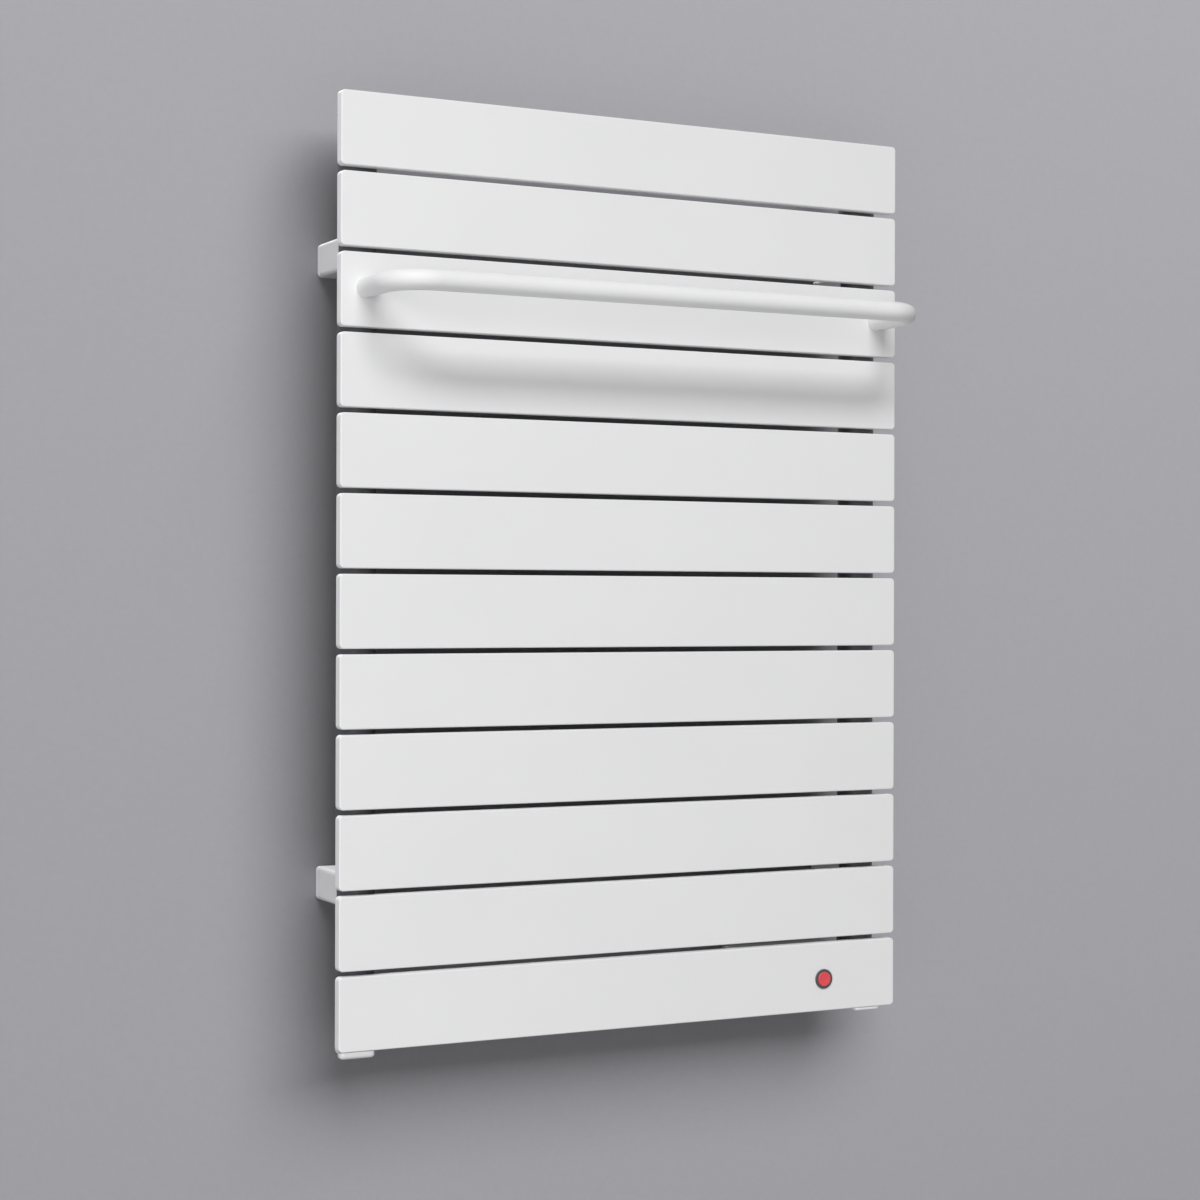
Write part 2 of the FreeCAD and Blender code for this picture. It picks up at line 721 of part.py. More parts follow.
def brackets():
    """Four two-part brackets: a saddle on the header slides over a foot on the wall."""
    screws = []
    grubs = []
    for level, up in LEVELS:
        for side, sign in SIDES:
            corner = f"{level}_{side}"
            x = f"{sign} * header_x"
            z = f"{up} * bracket_span / 2"
            wide = around(x, "bracket_width")
            tall = around(z, "bracket_height")
            deep = ("-foot_reach", "-foot_flange")
            flange = rounded_block(f"{corner}_flange", wide, ("-foot_flange", "0"), tall, "bracket_round")
            stem = block(f"{corner}_stem", around(x, "foot_width"), deep, around(z, "foot_height"))
            well = block(f"{corner}_well", around(x, "foot_width - 2 * foot_wall"), deep,
                         around(z, "foot_height - 2 * foot_wall"))
            hole = rod(f"{corner}_foot_hole", "Y", "foot_hole", (x, "-foot_flange", z), "foot_flange")
            node(cut(f"wall_foot_{corner}", join(f"{corner}_foot", flange, stem), well, hole))

            body = rounded_block(f"{corner}_body", wide, ("header_y", "saddle_back"), tall, "bracket_round")
            cradle = rod(f"{corner}_cradle", "Z", "header_dia + 2 * fit", (x, "header_y", tall[0]),
                         "bracket_height")
            socket = block(f"{corner}_socket", around(x, "foot_width + 2 * slide_fit"),
                           ("socket_floor", "saddle_back"), around(z, "foot_height + 2 * slide_fit"))
            axle = (x, "header_y", z)
            recess = rod(f"{corner}_recess", "Y", "boss_dia + 2 * slide_fit", axle,
                         "header_dia / 2 + boss_height + fit")
            shank_hole = rod(f"{corner}_shank_hole", "Y", "saddle_screw_dia + 2 * slide_fit", axle,
                             "socket_floor - header_y")
            low = (x, "(socket_floor + saddle_back) / 2", tall[0])
            grub_length = "(bracket_height - foot_height) / 2"
            grub_hole = rod(f"{corner}_grub_hole", "Z", "grub_dia + 2 * fit", low, grub_length)
            node(cut(f"saddle_{corner}", body, cradle, socket, recess, shank_hole, grub_hole))
            grubs.append(rod(f"{corner}_grub", "Z", "grub_dia", low, grub_length))
            shank = "socket_floor - header_back + header_wall - tap_floor - loose_fit"
            screws.append(screw(f"{corner}_saddle_screw", "saddle_screw_dia", shank, "saddle_head_dia",
                                "saddle_head", (x, "socket_floor", z)))
    node(group("saddle_screws", *screws))
    node(group("bracket_grub_screws", *grubs))


def box_ties():
    """Places of the two screws that tie the control box to its slat."""
    return [("box_left + tie_inset", "lowest_z - tie_rise"),
            ("box_right - tie_inset", "lowest_z + tie_rise")]


def box_corners():
    """Centres of the control box's four corner posts, with their names."""
    inset = "box_wall + post_width / 2"
    return [(f"{level}_{side}", f"box_{side} - {sign} * ({inset})", f"box_{end} - {up} * ({inset})")
            for level, end, up in (("upper", "top", 1), ("lower", "bottom", -1)) for side, sign in SIDES]


def board_stakes():
    """Centres of the four stakes that hold the circuit board."""
    return [(f"board_{side} - {sign} * standoff_inset",
             f"lowest_z + {up} * (board_height / 2 - standoff_inset)")
            for side, sign in SIDES for up in (-1, 1)]


def control_box():
    """The tray on the slat's back, its cover, its screws and the cable grommet."""
    across = ("box_left", "box_right")
    tall = ("box_bottom", "box_top")
    shell = rounded_block("box_shell", across, ("slat_back", "box_back"), tall, "box_round")
    inside = block("box_inside", ("box_left + box_wall", "box_right - box_wall"), ("box_inner", "box_back"),
                   ("box_bottom + box_wall", "box_top - box_wall"))
    posts = []
    holes = []
    screws = []
    cover_holes = []
    for corner, x, z in box_corners():
        posts.append(block(f"box_post_{corner}", around(x, "post_width"), ("box_inner", "box_back"),
                           around(z, "post_width")))
        tip = (x, "cover_back - screw_length", z)
        holes.append(rod(f"box_post_hole_{corner}", "Y", "screw_dia + 2 * fit", tip, "screw_length"))
        cover_holes.append(rod(f"cover_hole_{corner}", "Y", "screw_dia + 2 * slide_fit", (x, "box_back", z),
                               "cover_thick"))
        screws.append(screw(f"cover_screw_{corner}", "screw_dia", "screw_length - loose_fit",
                            "screw_head_dia", "screw_head", (x, "cover_back", z)))
    for number, (x, z) in enumerate(board_stakes()):
        root = (x, "box_inner", z)
        posts.append(rod(f"board_standoff_{number}", "Y", "standoff_dia", root, "board_standoff"))
        posts.append(rod(f"board_stake_{number}", "Y", "stake_dia", root, "board_standoff + board_thick"))
    for number, (x, z) in enumerate(box_ties()):
        holes.append(rod(f"tie_hole_{number}", "Y", "screw_dia + 2 * fit", (x, "slat_back", z), "box_wall"))
        screws.append(screw(f"tie_screw_{number}", "screw_dia", "box_wall + slat_wall", "screw_head_dia",
                            "screw_head", (x, "box_inner", z)))
    through = [("button", "barrel_dia + 2 * slide_fit", "button_x", "button_z"),
               ("wire", "wire_dia", "wire_x", "lowest_z"),
               ("earth", "earth_dia + 2 * slide_fit", "earth_x", "earth_z")]
    for name, dia, x, z in through:
        holes.append(rod(f"box_{name}_hole", "Y", dia, (x, "slat_back", z), "box_wall"))
    tray = cut("box_tray", shell, inside)
    node(cut("control_box", join("box_with_posts", tray, *posts), *holes))

    plate = rounded_block("cover_plate", across, ("box_back", "cover_back"), tall, "box_round")
    entry = rod("cover_entry", "Y", "grommet_neck", ("entry_x", "box_back", "lowest_z"), "cover_thick")
    node(cut("box_cover", plate, entry, *cover_holes))
    node(group("box_screws", *screws))
    neck = "grommet_neck / 2 - fit"
    hole = "entry_dia / 2"
    rim = "grommet_dia / 2"
    outer = "cover_thick + grommet_lip"
    grommet = [(hole, "-grommet_lip"), (rim, "-grommet_lip"), (rim, "0"), (neck, "0"),
               (neck, "cover_thick"), (rim, "cover_thick"), (rim, outer), (hole, outer)]
    node(turned("cable_grommet", grommet, ("entry_x", "box_back", "lowest_z"), "Y"))


def electronics():
    """The circuit board with what stands on it, and the earth stud."""
    board = block("board_plate", ("board_left", "board_right"), ("board_front", "board_back"),
                  around("lowest_z", "board_height"))
    holes = [rod(f"board_hole_{number}", "Y", "stake_dia + 2 * fit", (x, "board_front", z), "board_thick")
             for number, (x, z) in enumerate(board_stakes())]
    node(cut("circuit_board", board, *holes))
    node(block("terminal_block", ("block_left", "block_left + block_length"),
               ("board_back", "board_back + block_depth"), around("lowest_z", "block_height")))
    across = ("module_left", "module_right")
    node(block("power_module", across, ("board_back", "board_back + module_depth"),
               ("module_bottom", "module_top")))
    relay_bottom = "module_top + relay_gap"
    node(block("relay", across, ("board_back", "board_back + relay_depth"),
               (relay_bottom, f"{relay_bottom} + relay_height")))
    stud = rod("earth_rod", "Y", "earth_dia", ("earth_x", "slat_back", "earth_z"), "earth_length")
    nut_start = ("earth_x", "box_inner", "earth_z")
    nut = hexagon("earth_nut_hex", "Y", "earth_flats", nut_start, "earth_nut")
    nut_hole = rod("earth_nut_hole", "Y", "earth_dia + 2 * fit", nut_start, "earth_nut")
    node(group("earth_stud", stud, cut("earth_nut_ring", nut, nut_hole)))


def return_spring():
    """The button's coil spring: each quarter turn is two tangent arcs."""
    radius = value("spring_dia / 2")
    wire = value("spring_wire")
    turns = value("spring_turns")
    low = value("crown_back + fit + spring_wire / 2")
    high = value("bezel_bore - fit - spring_wire / 2")
    steps = int(round(4 * turns))
    rise = (high - low) / turns
    slope = rise / (2 * math.pi)

    def point(angle):
        return FreeCAD.Vector(radius * math.cos(angle), radius * math.sin(angle), low + slope * angle)

    def heading(angle):
        return FreeCAD.Vector(-radius * math.sin(angle), radius * math.cos(angle), slope).normalize()

    def arc(start, apex, end):
        middle = (start + end) / 2
        half_chord = (end - start).Length / 2
        sag = half_chord * math.tan(math.atan((apex - middle).Length / half_chord) / 2)
        return Part.Arc(start, middle + (apex - middle).normalize() * sag, end).toShape()

    edges = []
    for step in range(steps):
        angle, after = (2 * math.pi * turns * number / steps for number in (step, step + 1))
        start, end = point(angle), point(after)
        leave, arrive = heading(angle), heading(after)
        chord = end - start
        pull = chord.dot(leave + arrive)
        bend = 2 * (1 - leave.dot(arrive))
        reach = (math.sqrt(pull ** 2 + bend * chord.dot(chord)) - pull) / bend
        first, last = start + leave * reach, end - arrive * reach
        knee = (first + last) / 2
        edges += [arc(start, first, knee), arc(knee, last, end)]
    spring = doc.addObject("Part::Feature", "return_spring")
    spring.Shape = round_wire(Part.Wire(edges), wire)
    spring.Placement = FreeCAD.Placement(FreeCAD.Vector(), TURNS["Y"])
    place(spring, "button_x", "slat_front", "button_z")
    node(spring)
    print("return spring gap between turns", round(rise - wire, 3))


def push_button():
    """The button and its switch; heights run back from the slat's front face."""
    front = ("button_x", "slat_front", "button_z")

    def behind(height, x="0", z="0"):
        return f"button_x + {x}", f"slat_front + {height}", f"button_z + {z}"

    bore = "button_dia / 2"
    guide = "stem_dia / 2 + slide_fit"
    shell = [(bore, "-bezel_flange"), ("bezel_dia / 2", "-bezel_flange"), ("bezel_dia / 2", "0"),
             ("barrel_dia / 2", "0"), ("barrel_dia / 2", "barrel_end"), ("barrel_cavity / 2", "barrel_end"),
             ("barrel_cavity / 2", "web_back"), (guide, "web_back"), (guide, "bezel_bore"),
             (bore, "bezel_bore")]
    barrel = turned("bezel_barrel", shell, front, "Y")
    round_rim(barrel, "bezel_round", "bezel_dia", "-bezel_flange")
    lamp_start = behind("bezel_bore", z="lamp_offset")
    lamp_hole = rod("lamp_hole", "Y", "lamp_dia + 2 * fit", lamp_start, "bezel_web")
    node(cut("button_bezel", barrel, lamp_hole))
    node(rod("indicator_lamp", "Y", "lamp_dia", lamp_start, "bezel_web"))

    nut_start = ("button_x", "box_inner", "button_z")
    nut = hexagon("lock_nut_hex", "Y", "nut_flats", nut_start, "nut_height")
    node(cut("lock_nut", nut, rod("lock_nut_hole", "Y", "barrel_dia + 2 * fit", nut_start, "nut_height")))

    rim = "button_dia / 2 - slide_fit"
    skirt_end = "crown_front + button_skirt"
    skirt = "button_dia / 2 - slide_fit - button_wall"
    crown = [("0", "crown_front"), (rim, "crown_front"), (rim, skirt_end), (skirt, skirt_end),
             (skirt, "crown_back"), ("0", "crown_back")]
    cap = turned("button_cap", crown, front, "Y")
    node(round_rim(cap, "button_round", "button_dia - 2 * slide_fit", "crown_front"))
    stem = [("0", "crown_back"), ("stem_dia / 2", "crown_back"), ("stem_dia / 2", "foot_front"),
            ("stem_foot_dia / 2", "foot_front"), ("stem_foot_dia / 2", "foot_back"), ("0", "foot_back")]
    node(turned("plunger", stem, front, "Y"))
    return_spring()
    node(block("contact_bridge", around("button_x", "bridge_width"),
               ("slat_front + foot_back", "slat_front + bridge_back"), around("button_z", "bridge_height")))

    rear = "barrel_cavity / 2 - fit"
    housing_front = "contact_front + loose_fit"
    housing_end = "barrel_end + housing_flange"
    plug = [("0", housing_front), (rear, housing_front), (rear, "barrel_end"),
            ("barrel_dia / 2", "barrel_end"), ("barrel_dia / 2", housing_end), ("0", housing_end)]
    holes = []
    contacts = []
    for side, sign in SIDES:
        start = behind("contact_front", x=f"{sign} * contact_offset")
        contacts.append(rod(f"{side}_contact", "Y", "contact_dia", start, "contact_length"))
        holes.append(rod(f"{side}_contact_hole", "Y", "contact_dia + 2 * fit", start, "contact_length"))
    node(group("fixed_contacts", *contacts))
    node(cut("switch_housing", turned("housing_plug", plug, front, "Y"), *holes))


def check():
    """Stop unless every object is sound and every sub-part is made of closed, valid solids."""
    doc.recompute()
    for thing in doc.Objects:
        if "Invalid" in thing.State or "Error" in thing.State:
            raise ValueError(f"{thing.Label} failed: {thing.State}")
    for piece in nodes:
        if piece.Shape.isNull() or not piece.Shape.isValid() or not piece.Shape.Solids:
            raise ValueError(f"{piece.Label} has no sound solid")


panel()
header("left", -1, int(value("slat_count")))
header("right", 1, int(value("slat_count")) - 1)
collars()
header_ends()
heater()
heater_leads()
towel_bar()
brackets()
control_box()
electronics()
push_button()
check()
os.makedirs("parts", exist_ok=True)
for piece in nodes:
    piece.Shape.exportStep(f"parts/{piece.Label}.step")
    print(piece.Label, len(piece.Shape.Solids), round(piece.Shape.Volume))
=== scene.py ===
# %% [markdown]
# # A wall-hung towel warmer
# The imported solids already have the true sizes, so this lesson dresses them. It gives every solid the
# finish of its real material, adds the small made things that a solid model leaves plain, such as weld
# beads, seams and screw sockets, and then lights and photographs the result. The frame comes first. Every
# later step measures from it, in metres: +X is right, +Y is into the wall, +Z is up.

# %% Load the frame
import json
import math

import bmesh
import bpy
from mathutils import Matrix, Vector


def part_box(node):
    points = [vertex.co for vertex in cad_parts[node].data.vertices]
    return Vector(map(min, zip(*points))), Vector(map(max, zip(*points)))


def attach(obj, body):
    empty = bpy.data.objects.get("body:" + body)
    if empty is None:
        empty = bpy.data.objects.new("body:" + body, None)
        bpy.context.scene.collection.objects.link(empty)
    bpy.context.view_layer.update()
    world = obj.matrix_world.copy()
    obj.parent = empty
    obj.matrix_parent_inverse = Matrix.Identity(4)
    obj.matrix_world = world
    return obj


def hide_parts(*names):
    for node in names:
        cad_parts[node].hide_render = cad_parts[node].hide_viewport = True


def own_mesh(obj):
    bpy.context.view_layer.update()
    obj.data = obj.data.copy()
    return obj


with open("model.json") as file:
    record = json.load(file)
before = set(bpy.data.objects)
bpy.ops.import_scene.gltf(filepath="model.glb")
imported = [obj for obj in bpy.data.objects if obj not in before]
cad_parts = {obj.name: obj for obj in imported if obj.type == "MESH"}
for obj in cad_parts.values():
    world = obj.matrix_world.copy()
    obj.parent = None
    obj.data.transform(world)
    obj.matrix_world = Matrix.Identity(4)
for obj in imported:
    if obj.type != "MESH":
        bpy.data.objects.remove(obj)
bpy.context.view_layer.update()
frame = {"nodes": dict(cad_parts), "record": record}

MM = 0.001
nodes = frame["nodes"]

# %% [markdown]
# ## Colours and shader nodes
# A colour is given as an sRGB hex value, but a renderer adds light in linear units. One function
# makes the change, so the rest of the file can use hex values as a paint chart does. A second small
# function adds any shader node with its settings and its links, which keeps each finish short.

# %% Two helpers for finishes
def linear(code):
    """Turn an sRGB hex colour into linear red, green, blue and alpha."""
    parts = [int(code[i:i + 2], 16) / 255 for i in (1, 3, 5)]
    return [p / 12.92 if p <= 0.04045 else ((p + 0.055) / 1.055) ** 2.4 for p in parts] + [1.0]


def add(tree, kind, inputs=None, **settings):
    """Add one node. Inputs are plain values, or the sockets that feed them."""
    node = tree.nodes.new(kind)
    for name, value in settings.items():
        setattr(node, name, value)
    for name, value in (inputs or {}).items():
        if isinstance(value, bpy.types.NodeSocket):
            tree.links.new(value, node.inputs[name])
        else:
            node.inputs[name].default_value = value
    return node


def new_finish(name, **constants):
    """An empty finish: its node tree, its shader and its object coordinates in metres."""
    made = bpy.data.materials.new(name)
    made.use_nodes = True
    tree = made.node_tree
    shader = tree.nodes["Principled BSDF"]
    for socket, value in constants.items():
        shader.inputs[socket.replace("_", " ")].default_value = value
    place = add(tree, "ShaderNodeTexCoord").outputs["Object"]
    return made, tree, shader, place


print("white as the renderer sees it:", [round(c, 3) for c in linear("#FFFFFF")])

# %% [markdown]
# ## Satin white powder coat
# Powder coat is a plastic dust that is baked onto steel. It flows out almost flat and leaves a faint orange
# peel, with bumps a couple of millimetres across and a few microns high. A plain white would look like
# paper, so the finish has three layers of noise: a slow drift of tone over a hand's width, the peel that
# tilts the light, and a finer grain in the gloss. The peel is drawn about twice as coarse as the real one,
# so that it shows in the render.

# %% Powder coat
PEEL_MM = 3.0
DRIFT_MM = 140.0
GRAIN_MM = 0.9
PEEL_HIGH_MM = 0.05
PEEL_STRENGTH = 0.12

powder_coat, tree, shader, place = new_finish("satin_white_powder_coat", IOR=1.5, Specular_IOR_Level=0.38)
drift = add(tree, "ShaderNodeTexNoise", {"Vector": place, "Scale": 1 / (DRIFT_MM * MM), "Detail": 2.0})
tone = add(tree, "ShaderNodeMix",
           {"Factor": drift.outputs["Fac"], 6: linear("#EAEAEB"), 7: linear("#EFEFEF")}, data_type="RGBA")
tree.links.new(tone.outputs[2], shader.inputs["Base Color"])
grain = add(tree, "ShaderNodeTexNoise", {"Vector": place, "Scale": 1 / (GRAIN_MM * MM), "Detail": 3.0})
gloss = add(tree, "ShaderNodeMapRange", {"Value": grain.outputs["Fac"], "To Min": 0.46, "To Max": 0.58})
tree.links.new(gloss.outputs["Result"], shader.inputs["Roughness"])
peel = add(tree, "ShaderNodeTexNoise", {"Vector": place, "Scale": 1 / (PEEL_MM * MM), "Detail": 1.5})
skin = add(tree, "ShaderNodeBump",
           {"Height": peel.outputs["Fac"], "Strength": PEEL_STRENGTH, "Distance": PEEL_HIGH_MM * MM})
tree.links.new(skin.outputs["Normal"], shader.inputs["Normal"])
print("made", powder_coat.name)

# %% [markdown]
# ## Moulded plastics and rubber
# The brackets, the control box, the button's ring and the small electrical parts are moulded. A mould is
# spark eroded, and that leaves a fine grain on the plastic. What differs from one part to the next is the
# colour, the size of the grain and the gloss, so one function makes them all: it mixes two close tones,
# roughens the gloss with the same grain, and lets the grain tilt the light. Grain sizes are in millimetres
# on the real part. The headers behind the slats come from it too, with the same kind of skin, in a dark
# grey that is painted shade: it keeps the slots dark where the headers pass behind them.

# %% Moulded finishes
CLOUD_GRAINS = 25
GRAIN_STRENGTH = 0.35


def moulded(name, pale, dark, grain_mm, gloss, depth_mm, **constants):
    """A moulded plastic or rubber: two close tones, a grain and a pair of roughness limits."""
    made, tree, shader, place = new_finish(name, **constants)
    cloud = add(tree, "ShaderNodeTexNoise",
                {"Vector": place, "Scale": 1 / (CLOUD_GRAINS * grain_mm * MM), "Detail": 3.0})
    tone = add(tree, "ShaderNodeMix", {"Factor": cloud.outputs["Fac"], 6: linear(dark), 7: linear(pale)},
               data_type="RGBA")
    tree.links.new(tone.outputs[2], shader.inputs["Base Color"])
    grain = add(tree, "ShaderNodeTexNoise", {"Vector": place, "Scale": 1 / (grain_mm * MM), "Detail": 4.0})
    rough = add(tree, "ShaderNodeMapRange",
                {"Value": grain.outputs["Fac"], "To Min": gloss[0], "To Max": gloss[1]})
    tree.links.new(rough.outputs["Result"], shader.inputs["Roughness"])
    skin = add(tree, "ShaderNodeBump",
               {"Height": grain.outputs["Fac"], "Strength": GRAIN_STRENGTH, "Distance": depth_mm * MM})
    tree.links.new(skin.outputs["Normal"], shader.inputs["Normal"])
    print("made", name)
    return made


white_nylon = moulded("moulded_white_nylon", "#E2E2E3", "#D8D8DA", 0.8, (0.45, 0.62), 0.05, IOR=1.53)
grey_abs = moulded("moulded_dark_grey_abs", "#53565A", "#484B4F", 0.9, (0.5, 0.68), 0.08, IOR=1.54)
ring_plastic = moulded("satin_charcoal_polycarbonate", "#4B4E52", "#404347", 0.5, (0.3, 0.42), 0.02, IOR=1.58)
soft_rubber = moulded("moulded_black_epdm_rubber", "#2C2D2E", "#222324", 1.2, (0.68, 0.85), 0.08, IOR=1.52)
silicone = moulded("red_brown_silicone_sleeve", "#9A4A3A", "#873D2F", 0.7, (0.5, 0.65), 0.04, IOR=1.41)
ceramic = moulded("pressed_steatite_ceramic", "#EEE9DC", "#E2DCCB", 0.6, (0.3, 0.5), 0.03, IOR=1.6)
green_block = moulded("moulded_green_polyamide", "#3C8A55", "#2F7547", 0.8, (0.42, 0.58), 0.04, IOR=1.53)
cast_resin = moulded("cast_black_epoxy", "#2A2A2C", "#202022", 0.9, (0.38, 0.55), 0.04, IOR=1.55)
natural_nylon = moulded("natural_turned_nylon", "#E4E1D6", "#D8D4C6", 0.6, (0.4, 0.55), 0.02, IOR=1.53)
# Painted shade: the headers are drawn dark grey so that the slots between the tubes stay dark where they
# pass.
painted_shade_grey = moulded("dark_grey_painted_shade_headers", "#535457", "#4A4B4E", 1.5, (0.42, 0.56), 0.03, IOR=1.5)

# %% [markdown]
# ## Metals
# Zinc plate is bright and slightly blue with soft cloudy patches. Turned brass and a drawn stainless sheath
# carry fine lines left by the tool. A metal's colour is its reflection, so only the tone, the roughness and
# the direction of the lines change. The lines are a noise pattern that is squeezed across the turning
# direction.

# %% Metal finishes
LINE_DEEP_MM = 0.02
LINE_STRENGTH = 0.2


def worked_metal(name, pale, dark, line_mm, stretch, gloss):
    """A bare metal with tool lines: the noise is drawn out by a factor along each axis."""
    made, tree, shader, place = new_finish(name, Metallic=1.0)
    lines_at = add(tree, "ShaderNodeMapping", {"Vector": place, "Scale": stretch})
    lines = add(tree, "ShaderNodeTexNoise",
                {"Vector": lines_at.outputs["Vector"], "Scale": 1 / (line_mm * MM), "Detail": 3.0})
    tone = add(tree, "ShaderNodeMix", {"Factor": lines.outputs["Fac"], 6: linear(dark), 7: linear(pale)},
               data_type="RGBA")
    tree.links.new(tone.outputs[2], shader.inputs["Base Color"])
    rough = add(tree, "ShaderNodeMapRange",
                {"Value": lines.outputs["Fac"], "To Min": gloss[0], "To Max": gloss[1]})
    tree.links.new(rough.outputs["Result"], shader.inputs["Roughness"])
    skin = add(tree, "ShaderNodeBump",
               {"Height": lines.outputs["Fac"], "Strength": LINE_STRENGTH, "Distance": LINE_DEEP_MM * MM})
    tree.links.new(skin.outputs["Normal"], shader.inputs["Normal"])
    print("made", name)
    return made


zinc = worked_metal("bright_zinc_plated_steel", "#D3D7DB", "#B9BEC4", 1.5, (1, 1, 1), (0.28, 0.42))
sheath = worked_metal("drawn_stainless_steel", "#C8C6C2", "#B2AFAA", 0.6, (1, 1, 0.05), (0.25, 0.4))
brass = worked_metal("turned_brass", "#DDBE78", "#CBA85C", 0.5, (0.2, 0.2, 1), (0.22, 0.36))

# %% [markdown]
# ## The button's red lens and the board's lacquer
# The button is a translucent red moulding with a small lamp behind it, so light sinks in and comes out red
# a little further on. Subsurface scattering does that, and a very weak glow stands for the lamp. The
# circuit board is green lacquer over copper tracks. A grid of bricks draws the tracks, a shade lighter than
# the lacquer between them.

# %% Lens and lacquer
LENS_DEPTH_MM = 0.8
LENS_CLOUD_MM = 5.0
LENS_GRAIN_MM = 0.5
TRACK_MM = 2.5
TRACK_LONG = 6
TRACK_GAP = 0.2
WEAVE_MM = 0.7

red_lens, tree, shader, place = new_finish("translucent_red_polycarbonate", IOR=1.58, Subsurface_Weight=0.35,
                                           Subsurface_Scale=LENS_DEPTH_MM * MM, Emission_Strength=0.12)
shader.inputs["Subsurface Radius"].default_value = (1.0, 0.25, 0.2)
shader.inputs["Emission Color"].default_value = linear("#E8383F")
cloud = add(tree, "ShaderNodeTexNoise", {"Vector": place, "Scale": 1 / (LENS_CLOUD_MM * MM), "Detail": 2.0})
tone = add(tree, "ShaderNodeMix",
           {"Factor": cloud.outputs["Fac"], 6: linear("#D2434A"), 7: linear("#DE545A")}, data_type="RGBA")
tree.links.new(tone.outputs[2], shader.inputs["Base Color"])
grain = add(tree, "ShaderNodeTexNoise", {"Vector": place, "Scale": 1 / (LENS_GRAIN_MM * MM), "Detail": 3.0})
rough = add(tree, "ShaderNodeMapRange", {"Value": grain.outputs["Fac"], "To Min": 0.22, "To Max": 0.34})
tree.links.new(rough.outputs["Result"], shader.inputs["Roughness"])

lacquer, tree, shader, place = new_finish("green_solder_lacquer", IOR=1.52)
face_on = add(tree, "ShaderNodeMapping", {"Vector": place, "Rotation": (math.radians(90), 0, 0)})
tracks = add(tree, "ShaderNodeTexBrick", {"Vector": face_on.outputs["Vector"], "Color1": linear("#1F6B3A"),
                                          "Color2": linear("#237442"), "Mortar": linear("#15502A"),
                                          "Scale": 1.0, "Brick Width": TRACK_LONG * TRACK_MM * MM,
                                          "Row Height": TRACK_MM * MM,
                                          "Mortar Size": TRACK_GAP * TRACK_MM * MM})
tree.links.new(tracks.outputs["Color"], shader.inputs["Base Color"])
weave = add(tree, "ShaderNodeTexNoise", {"Vector": place, "Scale": 1 / (WEAVE_MM * MM), "Detail": 2.0})
rough = add(tree, "ShaderNodeMapRange", {"Value": weave.outputs["Fac"], "To Min": 0.28, "To Max": 0.4})
tree.links.new(rough.outputs["Result"], shader.inputs["Roughness"])
print("made", red_lens.name, "and", lacquer.name)

# %% [markdown]
# ## Finish every solid
# The record gives each solid a material slot, so one table from slot to finish dresses them all. The solids
# stay where they are and their meshes aren't touched.

# %% Assign the finishes
FINISHES = {
    "white_powder_coat": powder_coat,
    # The headers' slot takes the dark grey painted shade.
    "header_primer": painted_shade_grey,
    "white_plastic": white_nylon,
    "zinc_steel": zinc,
    "element_steel": sheath,
    "brass": brass,
    "sealing_rubber": soft_rubber,
    "lead_sleeve": silicone,
    "insulator_ceramic": ceramic,
    "box_plastic": grey_abs,
    "board_laminate": lacquer,
    "module_resin": cast_resin,
    "block_plastic": green_block,
    "bezel_plastic": ring_plastic,
    "red_lens": red_lens,
    "stem_nylon": natural_nylon,
    "lamp_lens": red_lens,
}
for part in frame["record"]["subparts"]:
    solid = nodes[part["node"]].data
    solid.materials.clear()
    solid.materials.append(FINISHES[part["material_slot"]])

# %% [markdown]
# ## Soften the moulded edges
# A moulded or sawn edge is never a perfect corner: it catches a thin line of light. The brackets and the
# control box have sharp rims as solids. A Weld modifier first joins their loose triangles, and a Bevel
# modifier then rounds every edge that turns by more than its limit. The solid's own mesh stays as it was
# packed.

# %% Rounded rims on brackets and box
RIM_MM = 0.8
RIM_STEPS = 3
RIM_TURN = math.radians(40)
WELD_MM = 0.01
CORNERS = [f"{level}_{side}" for level in ("upper", "lower") for side in ("left", "right")]
rimmed = [f"{kind}_{corner}" for kind in ("saddle", "wall_foot") for corner in CORNERS]
rimmed += ["control_box", "box_cover"]
for name in rimmed:
    weld = nodes[name].modifiers.new("Weld", "WELD")
    weld.merge_threshold = WELD_MM * MM
    rim = nodes[name].modifiers.new("Rim", "BEVEL")
    rim.width = RIM_MM * MM
    rim.segments = RIM_STEPS
    rim.limit_method = "ANGLE"
    rim.angle_limit = RIM_TURN
    rim.profile = 0.5
    rim.harden_normals = True
print("rounded rims on", len(rimmed), "solids")

# %% [markdown]
# ## Making a new piece
# Each new piece is a bmesh, which is Blender's mesh for editing in code. When its shape is done, the same
# steps finish it: join doubled points, turn the faces outwards, shade it smooth up to a sharp angle, and
# hang it on the body that carries it, so that it moves with that body.

# %% Helpers for new pieces
SHARP = math.radians(35)
JOIN_MM = 0.001


def keep(shape, name, body, slot, stands_for=()):
    """Turn a finished bmesh into a piece that rides on a body and takes a slot's finish."""
    bmesh.ops.remove_doubles(shape, verts=shape.verts, dist=JOIN_MM * MM)
    bmesh.ops.recalc_face_normals(shape, faces=shape.faces)
    for face in shape.faces:
        face.smooth = True
    mesh = bpy.data.meshes.new(name)
    shape.to_mesh(mesh)
    shape.free()
    mesh.set_sharp_from_angle(angle=SHARP)
    mesh.materials.append(FINISHES[slot])
    piece = bpy.data.objects.new(name, mesh)
    bpy.context.scene.collection.objects.link(piece)
    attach(piece, body)
    if stands_for:
        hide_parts(*stands_for)
    print(name, "faces:", len(mesh.polygons))
    return piece


